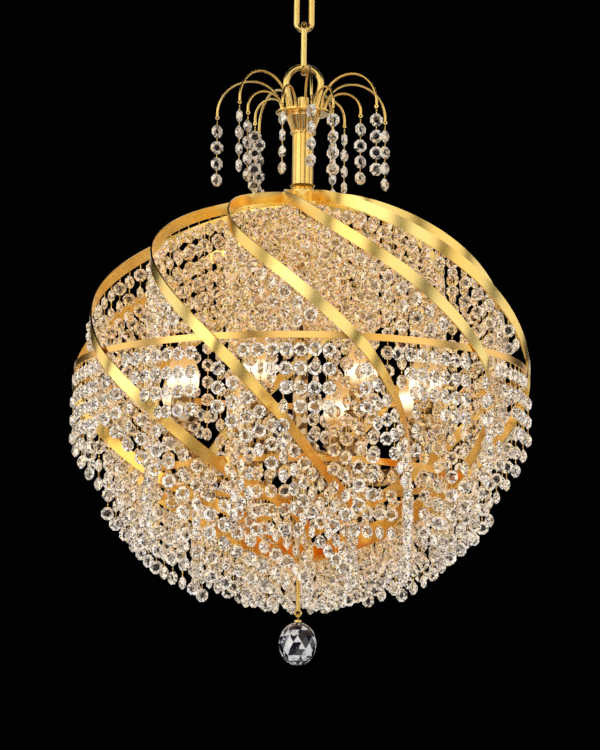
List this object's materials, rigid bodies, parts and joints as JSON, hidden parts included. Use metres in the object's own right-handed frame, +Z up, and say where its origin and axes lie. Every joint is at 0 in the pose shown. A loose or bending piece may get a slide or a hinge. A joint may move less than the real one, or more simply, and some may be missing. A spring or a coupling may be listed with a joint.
{
  "type": "crystal chandelier",
  "caption": "Globe chandelier of spiral gold bands hung with octagon crystal strands, with a wire spray on top, candle lamps inside and a faceted ball below.",
  "frame": {"origin": "middle of the ceiling face, between the bracket's two screw holes", "axes": "+Z up into the ceiling, the chandelier hangs down -Z, and the pictured front faces -Y"},
  "size_m": [0.5062, 0.4992, 0.8644],
  "materials": {
    "polished_gold": "polished gold plate",
    "crystal": "clear cut crystal, bevelled and polished",
    "bulb_glass": "clear glass with a warm glow",
    "socket_plastic": "smooth ivory",
    "bracket_steel": "zinc plated"
  },
  "bodies": {
    "ceiling_fitting": {"ceiling_bracket": "bracket_steel", "ceiling_canopy": "polished_gold", "canopy_loop": "polished_gold"},
    "link_1": {"chain_link_1": "polished_gold"},
    "link_2": {"chain_link_2": "polished_gold"},
    "link_3": {"chain_link_3": "polished_gold"},
    "chandelier": {"suspension_ring": "polished_gold", "stem_nut": "polished_gold", "spray_plate": "polished_gold", "spray_cup": "polished_gold", "spray_arms": "polished_gold", "stem_tube": "polished_gold", "stem_collar": "polished_gold", "top_hub": "polished_gold", "spiral_band_01": "polished_gold", "spiral_band_02": "polished_gold", "spiral_band_03": "polished_gold", "spiral_band_04": "polished_gold", "spiral_band_05": "polished_gold", "spiral_band_06": "polished_gold", "spiral_band_07": "polished_gold", "spiral_band_08": "polished_gold", "spiral_band_09": "polished_gold", "spiral_band_10": "polished_gold", "upper_hoop": "polished_gold", "lower_hoop": "polished_gold", "bottom_hub": "polished_gold", "upper_strands": "crystal", "lower_strands": "crystal", "central_column": "polished_gold", "arm_hub": "polished_gold", "lamp_arms": "polished_gold", "lamp_cups": "polished_gold", "lamp_holders": "polished_gold", "lamp_sockets": "socket_plastic", "finial_rod": "polished_gold"},
    "spray_01": {"spray_strand_01": "crystal"},
    "spray_02": {"spray_strand_02": "crystal"},
    "spray_03": {"spray_strand_03": "crystal"},
    "spray_04": {"spray_strand_04": "crystal"},
    "spray_05": {"spray_strand_05": "crystal"},
    "spray_06": {"spray_strand_06": "crystal"},
    "spray_07": {"spray_strand_07": "crystal"},
    "spray_08": {"spray_strand_08": "crystal"},
    "spray_09": {"spray_strand_09": "crystal"},
    "spray_10": {"spray_strand_10": "crystal"},
    "spray_11": {"spray_strand_11": "crystal"},
    "spray_12": {"spray_strand_12": "crystal"},
    "spray_13": {"spray_strand_13": "crystal"},
    "spray_14": {"spray_strand_14": "crystal"},
    "lamp_1": {"bulb_1": "bulb_glass"},
    "lamp_2": {"bulb_2": "bulb_glass"},
    "lamp_3": {"bulb_3": "bulb_glass"},
    "lamp_4": {"bulb_4": "bulb_glass"},
    "lamp_5": {"bulb_5": "bulb_glass"},
    "lamp_6": {"bulb_6": "bulb_glass"},
    "lamp_7": {"bulb_7": "bulb_glass"},
    "lamp_8": {"bulb_8": "bulb_glass"},
    "finial": {"finial_link": "polished_gold", "finial_ball": "crystal"}
  },
  "joints": [
    {"name": "link_1_swing", "type": "hinge", "parent": "ceiling_fitting", "child": "link_1", "pos_m": [0, 0, -0.062], "axis": [1, 0, 0], "range_deg": [-25, 25]},
    {"name": "link_2_swing", "type": "hinge", "parent": "link_1", "child": "link_2", "pos_m": [0, 0, -0.1104], "axis": [0, 1, 0], "range_deg": [-25, 25]},
    {"name": "link_3_swing", "type": "hinge", "parent": "link_2", "child": "link_3", "pos_m": [0, 0, -0.1587], "axis": [1, 0, 0], "range_deg": [-25, 25]},
    {"name": "chandelier_swing", "type": "hinge", "parent": "link_3", "child": "chandelier", "pos_m": [0, 0, -0.207], "axis": [0, 1, 0], "range_deg": [-25, 25]},
    {"name": "spray_01_swing", "type": "hinge", "parent": "chandelier", "child": "spray_01", "pos_m": [0.0913, 0.02967, -0.25639], "axis": [-0.309, 0.9511, 0], "range_deg": [-20, 20]},
    {"name": "spray_02_swing", "type": "hinge", "parent": "chandelier", "child": "spray_02", "pos_m": [0.04626, 0.04423, -0.25739], "axis": [-0.6911, 0.7228, 0], "range_deg": [-20, 20]},
    {"name": "spray_03_swing", "type": "hinge", "parent": "chandelier", "child": "spray_03", "pos_m": [0.03373, 0.08988, -0.25639], "axis": [-0.9362, 0.3514, 0], "range_deg": [-20, 20]},
    {"name": "spray_04_swing", "type": "hinge", "parent": "chandelier", "child": "spray_04", "pos_m": [-0.00574, 0.06374, -0.25739], "axis": [-0.996, -0.0896, 0], "range_deg": [-20, 20]},
    {"name": "spray_05_swing", "type": "hinge", "parent": "chandelier", "child": "spray_05", "pos_m": [-0.04924, 0.08241, -0.25639], "axis": [-0.8584, -0.5129, 0], "range_deg": [-20, 20]},
    {"name": "spray_06_swing", "type": "hinge", "parent": "chandelier", "child": "spray_06", "pos_m": [-0.05341, 0.03526, -0.25739], "axis": [-0.5509, -0.8346, 0], "range_deg": [-20, 20]},
    {"name": "spray_07_swing", "type": "hinge", "parent": "chandelier", "child": "spray_07", "pos_m": [-0.09513, 0.01289, -0.25639], "axis": [-0.1342, -0.9909, 0], "range_deg": [-20, 20]},
    {"name": "spray_08_swing", "type": "hinge", "parent": "chandelier", "child": "spray_08", "pos_m": [-0.06087, -0.01978, -0.25739], "axis": [0.309, -0.9511, 0], "range_deg": [-20, 20]},
    {"name": "spray_09_swing", "type": "hinge", "parent": "chandelier", "child": "spray_09", "pos_m": [-0.06939, -0.06634, -0.25639], "axis": [0.6911, -0.7228, 0], "range_deg": [-20, 20]},
    {"name": "spray_10_swing", "type": "hinge", "parent": "chandelier", "child": "spray_10", "pos_m": [-0.02249, -0.05992, -0.25739], "axis": [0.9362, -0.3514, 0], "range_deg": [-20, 20]},
    {"name": "spray_11_swing", "type": "hinge", "parent": "chandelier", "child": "spray_11", "pos_m": [0.0086, -0.09561, -0.25639], "axis": [0.996, 0.0896, 0], "range_deg": [-20, 20]},
    {"name": "spray_12_swing", "type": "hinge", "parent": "chandelier", "child": "spray_12", "pos_m": [0.03283, -0.05494, -0.25739], "axis": [0.8584, 0.5129, 0], "range_deg": [-20, 20]},
    {"name": "spray_13_swing", "type": "hinge", "parent": "chandelier", "child": "spray_13", "pos_m": [0.08012, -0.05289, -0.25639], "axis": [0.5509, 0.8346, 0], "range_deg": [-20, 20]},
    {"name": "spray_14_swing", "type": "hinge", "parent": "chandelier", "child": "spray_14", "pos_m": [0.06342, -0.00859, -0.25739], "axis": [0.1342, 0.9909, 0], "range_deg": [-20, 20]},
    {"name": "bulb_1_turn", "type": "hinge", "parent": "chandelier", "child": "lamp_1", "pos_m": [-0.04388, -0.13505, -0.58542], "axis": [0, 0, 1], "continuous": true},
    {"name": "bulb_2_turn", "type": "hinge", "parent": "chandelier", "child": "lamp_2", "pos_m": [0.06447, -0.12652, -0.58542], "axis": [0, 0, 1], "continuous": true},
    {"name": "bulb_3_turn", "type": "hinge", "parent": "chandelier", "child": "lamp_3", "pos_m": [0.13505, -0.04388, -0.58542], "axis": [0, 0, 1], "continuous": true},
    {"name": "bulb_4_turn", "type": "hinge", "parent": "chandelier", "child": "lamp_4", "pos_m": [0.12652, 0.06447, -0.58542], "axis": [0, 0, 1], "continuous": true},
    {"name": "bulb_5_turn", "type": "hinge", "parent": "chandelier", "child": "lamp_5", "pos_m": [0.04388, 0.13505, -0.58542], "axis": [0, 0, 1], "continuous": true},
    {"name": "bulb_6_turn", "type": "hinge", "parent": "chandelier", "child": "lamp_6", "pos_m": [-0.06447, 0.12652, -0.58542], "axis": [0, 0, 1], "continuous": true},
    {"name": "bulb_7_turn", "type": "hinge", "parent": "chandelier", "child": "lamp_7", "pos_m": [-0.13505, 0.04388, -0.58542], "axis": [0, 0, 1], "continuous": true},
    {"name": "bulb_8_turn", "type": "hinge", "parent": "chandelier", "child": "lamp_8", "pos_m": [-0.12652, -0.06447, -0.58542], "axis": [0, 0, 1], "continuous": true},
    {"name": "finial_swing", "type": "hinge", "parent": "chandelier", "child": "finial", "pos_m": [0, 0, -0.81094], "axis": [1, 0, 0], "range_deg": [-25, 25]}
  ]
}
